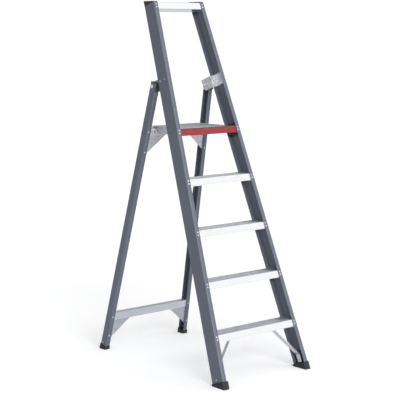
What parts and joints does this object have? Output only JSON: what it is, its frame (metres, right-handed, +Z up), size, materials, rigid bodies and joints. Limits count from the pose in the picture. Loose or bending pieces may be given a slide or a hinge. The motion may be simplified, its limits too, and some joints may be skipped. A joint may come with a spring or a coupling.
{
  "type": "step ladder",
  "caption": "Folding step ladder with a platform under a guard frame: leaning channel stiles with grooved treads, and braced rear legs that swing in.",
  "frame": {"origin": "on the floor under the middle of the footprint", "axes": "+Z up, +Y from the climber towards the rear legs, +X to the climber's right"},
  "size_m": [0.5672, 0.9884, 1.7862],
  "materials": {
    "powder_coat": "fine-textured anthracite powder coat, satin",
    "tread_aluminium": "mill-finish extrusion, satin",
    "member_aluminium": "mill-finish sheet, satin",
    "galvanised_steel": "galvanised with a fine spangle",
    "plated_steel": "bright zinc plate",
    "rivet_metal": "bright drawn metal",
    "red_cover": "satin moulded plastic",
    "black_plastic": "moulded plastic, fine texture",
    "black_rubber": "moulded rubber, matt"
  },
  "bodies": {
    "front_frame": {"stile_left": "powder_coat", "stile_right": "powder_coat", "tread_1": "tread_aluminium", "tread_2": "tread_aluminium", "tread_3": "tread_aluminium", "tread_4": "tread_aluminium", "platform_front_tread": "tread_aluminium", "platform_edge_cover": "red_cover", "top_bar": "tread_aluminium", "stile_cap_left": "black_plastic", "stile_cap_right": "black_plastic", "front_foot_left": "black_rubber", "front_foot_right": "black_rubber", "tread_brace_left": "galvanised_steel", "tread_brace_right": "galvanised_steel", "hinge_plate_left": "galvanised_steel", "hinge_plate_right": "galvanised_steel", "platform_bearing_left": "black_plastic", "platform_bearing_right": "black_plastic", "tread_rivets": "rivet_metal", "platform_tread_rivets": "rivet_metal", "top_bar_rivets": "rivet_metal", "hinge_plate_rivets": "galvanised_steel", "front_foot_rivets": "rivet_metal", "brace_rivets": "rivet_metal"},
    "rear_frame": {"rear_leg_left": "powder_coat", "rear_leg_right": "powder_coat", "lower_cross_member": "member_aluminium", "upper_cross_member": "member_aluminium", "lower_gusset_left": "galvanised_steel", "lower_gusset_right": "galvanised_steel", "upper_gusset_left": "galvanised_steel", "upper_gusset_right": "galvanised_steel", "leg_cap_left": "black_plastic", "leg_cap_right": "black_plastic", "rear_foot_left": "black_rubber", "rear_foot_right": "black_rubber", "cross_member_rivets": "rivet_metal", "rear_foot_rivets": "rivet_metal", "hinge_bolts": "plated_steel", "hinge_spacers": "black_plastic", "hinge_washers": "plated_steel", "hinge_nuts": "plated_steel", "support_brackets": "galvanised_steel", "support_pins": "plated_steel", "bracket_rivets": "rivet_metal"},
    "platform": {"platform_deck": "tread_aluminium", "platform_side_left": "galvanised_steel", "platform_side_right": "galvanised_steel", "platform_pivot_pins": "plated_steel", "deck_rivets": "rivet_metal"}
  },
  "joints": [
    {"name": "rear_fold", "type": "hinge", "parent": "front_frame", "child": "rear_frame", "pos_m": [0, 0.15456, 1.37162], "axis": [-1, 0, 0], "range_deg": [0, 33.6]},
    {"name": "platform_fold", "type": "hinge", "parent": "front_frame", "child": "platform", "pos_m": [0, -0.00656, 1.15929], "axis": [1, 0, 0], "range_deg": [0, 69.6]}
  ],
  "couplings": [
    {"joint": "platform_fold", "follows": "rear_fold", "ratio": 2.0713}
  ]
}
